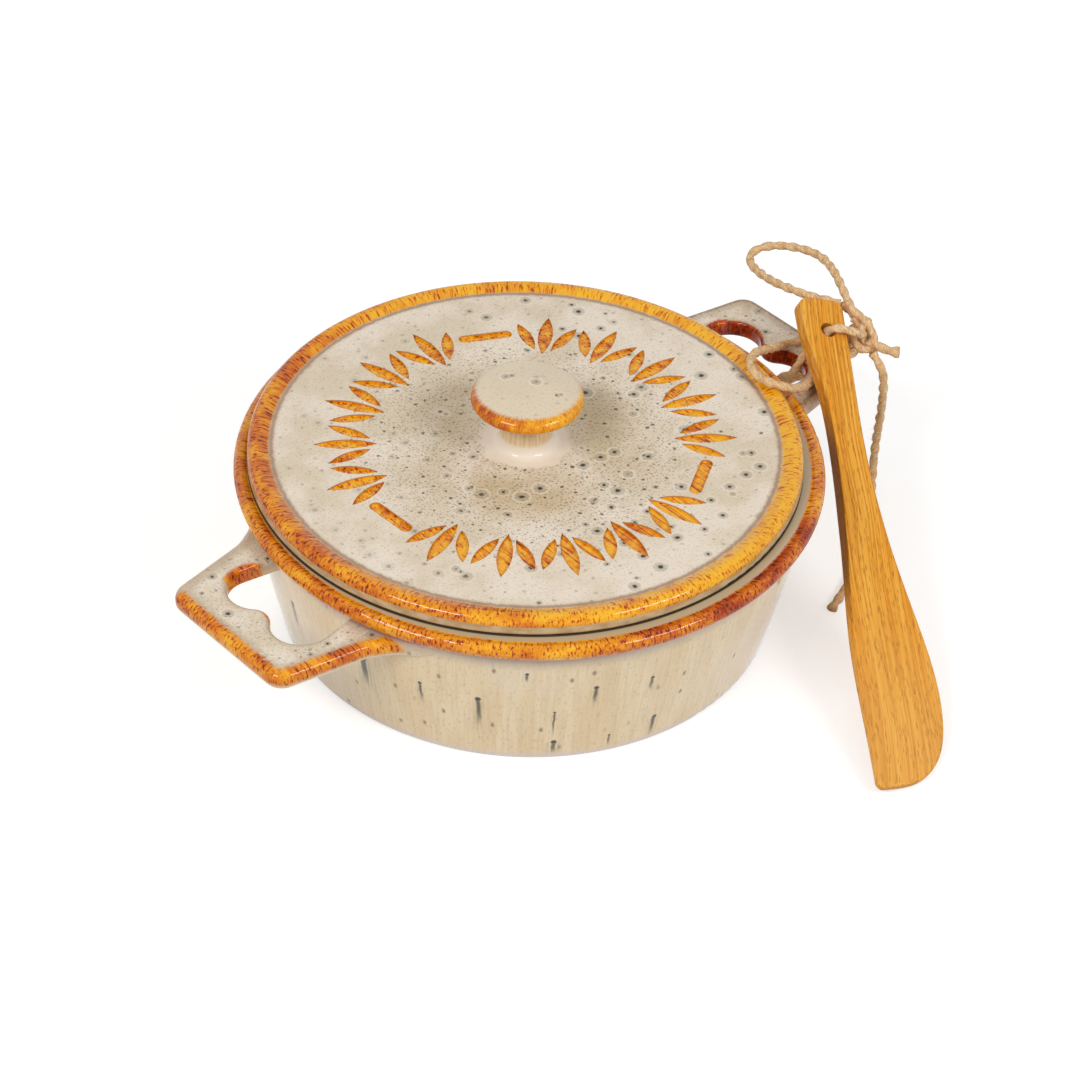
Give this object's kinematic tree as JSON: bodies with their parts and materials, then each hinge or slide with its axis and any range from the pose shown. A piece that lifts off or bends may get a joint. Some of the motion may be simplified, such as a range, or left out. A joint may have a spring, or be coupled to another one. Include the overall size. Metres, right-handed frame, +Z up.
{
  "type": "cheese baker",
  "caption": "Round low stoneware baker with pierced lug handles, a flat knobbed lid with a ring of sunk sprigs, and a wooden spreader tied to a handle with twine.",
  "frame": {"origin": "centre of the foot ring, on the table", "axes": "+Z up; X runs through both handles, with the tied-on spreader at the +X handle and its blade tip towards -Y"},
  "size_m": [0.252, 0.2278, 0.0773],
  "materials": {
    "stoneware": "gloss",
    "board": "satin",
    "jute": "matte"
  },
  "bodies": {
    "root": {"dish": "stoneware", "lid": "stoneware", "spreader": "board", "twine_knot": "jute", "twine_tie": "jute", "twine_bow_low": "jute", "twine_bow_high": "jute", "twine_tail_long": "jute", "twine_tail_short": "jute"}
  },
  "joints": []
}
